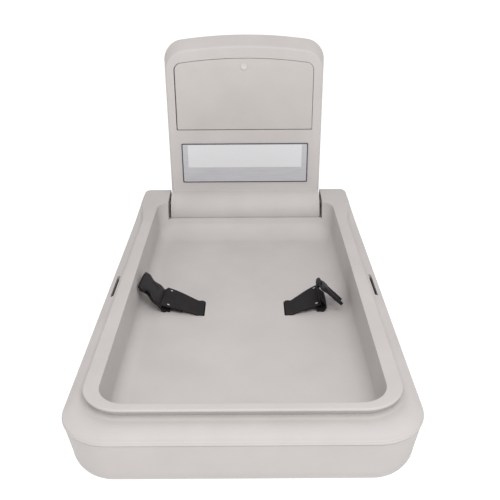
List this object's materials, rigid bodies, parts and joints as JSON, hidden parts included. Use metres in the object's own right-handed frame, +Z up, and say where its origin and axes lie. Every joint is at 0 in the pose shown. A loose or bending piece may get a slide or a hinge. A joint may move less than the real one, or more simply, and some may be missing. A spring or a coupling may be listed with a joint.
{
  "type": "baby changing station",
  "caption": "Wall-hung baby changing station: a moulded tray bed with safety straps folds down on a barrel hinge from an arched upright with a tilting liner door.",
  "frame": {"origin": "on the wall plane behind the middle of the hinge, at the hinge axis's height", "axes": "+X to the viewer's right, +Y into the wall, +Z up; the bed is stored open and level, reaching along -Y"},
  "size_m": [0.5224, 0.9072, 0.497],
  "materials": {
    "shell_plastic": "warm light grey moulded polyethylene, fine grain, low sheen",
    "door_plastic": "warm light grey moulded plastic, low sheen",
    "pocket_plastic": "grey moulded plastic, matt",
    "white_nylon": "natural white nylon",
    "silver_plate": "bare silver-grey plate with a thin dark border line",
    "zinc_steel": "bright zinc-plated steel",
    "dark_steel": "dark powder-coated steel",
    "webbing": "black woven webbing, matt",
    "buckle_plastic": "black moulded acetal, satin"
  },
  "bodies": {
    "wall_unit": {"wall_plate": "zinc_steel", "housing": "shell_plastic", "label_plate": "silver_plate", "liner_pocket": "pocket_plastic", "catch_clip": "white_nylon", "bracket_left": "zinc_steel", "bracket_right": "zinc_steel", "shaft_bush_left": "white_nylon", "shaft_bush_right": "white_nylon", "damper_left": "dark_steel", "damper_right": "dark_steel", "stop_pin_left": "zinc_steel", "stop_pin_right": "zinc_steel", "pocket_screw_left": "zinc_steel", "pocket_screw_right": "zinc_steel", "housing_screw_left_1": "zinc_steel", "housing_screw_left_2": "zinc_steel", "housing_screw_right_1": "zinc_steel", "housing_screw_right_2": "zinc_steel"},
    "liner_door_body": {"liner_door": "door_plastic", "door_catch": "white_nylon", "door_pin_left": "zinc_steel", "door_pin_right": "zinc_steel"},
    "bed": {"bed_tray": "shell_plastic", "bed_shell": "shell_plastic", "hinge_shaft": "zinc_steel", "cross_bar_1": "dark_steel", "cross_bar_2": "dark_steel", "hinge_arm_left": "dark_steel", "hinge_arm_right": "dark_steel", "frame_rail_left": "dark_steel", "frame_rail_right": "dark_steel", "shaft_nut_left": "zinc_steel", "shaft_nut_right": "zinc_steel", "stop_dog_left": "zinc_steel", "stop_dog_right": "zinc_steel", "strap_anchor_left": "zinc_steel", "strap_anchor_right": "zinc_steel", "strap_left": "webbing", "strap_right": "webbing", "arm_bolt_left_1": "zinc_steel", "arm_bolt_left_2": "zinc_steel", "arm_bolt_right_1": "zinc_steel", "arm_bolt_right_2": "zinc_steel", "shell_screw_left_1": "zinc_steel", "shell_screw_left_2": "zinc_steel", "shell_screw_left_3": "zinc_steel", "shell_screw_right_1": "zinc_steel", "shell_screw_right_2": "zinc_steel", "shell_screw_right_3": "zinc_steel", "buckle_socket": "buckle_plastic", "buckle_plug": "buckle_plastic"}
  },
  "joints": [
    {"name": "bed_fold", "type": "hinge", "parent": "wall_unit", "child": "bed", "pos_m": [0, -0.04, 0], "axis": [-1, 0, 0], "range_deg": [0, 90]},
    {"name": "liner_door_tilt", "type": "hinge", "parent": "wall_unit", "child": "liner_door_body", "pos_m": [0, -0.0335, 0.194], "axis": [1, 0, 0], "range_deg": [0, 15]}
  ]
}
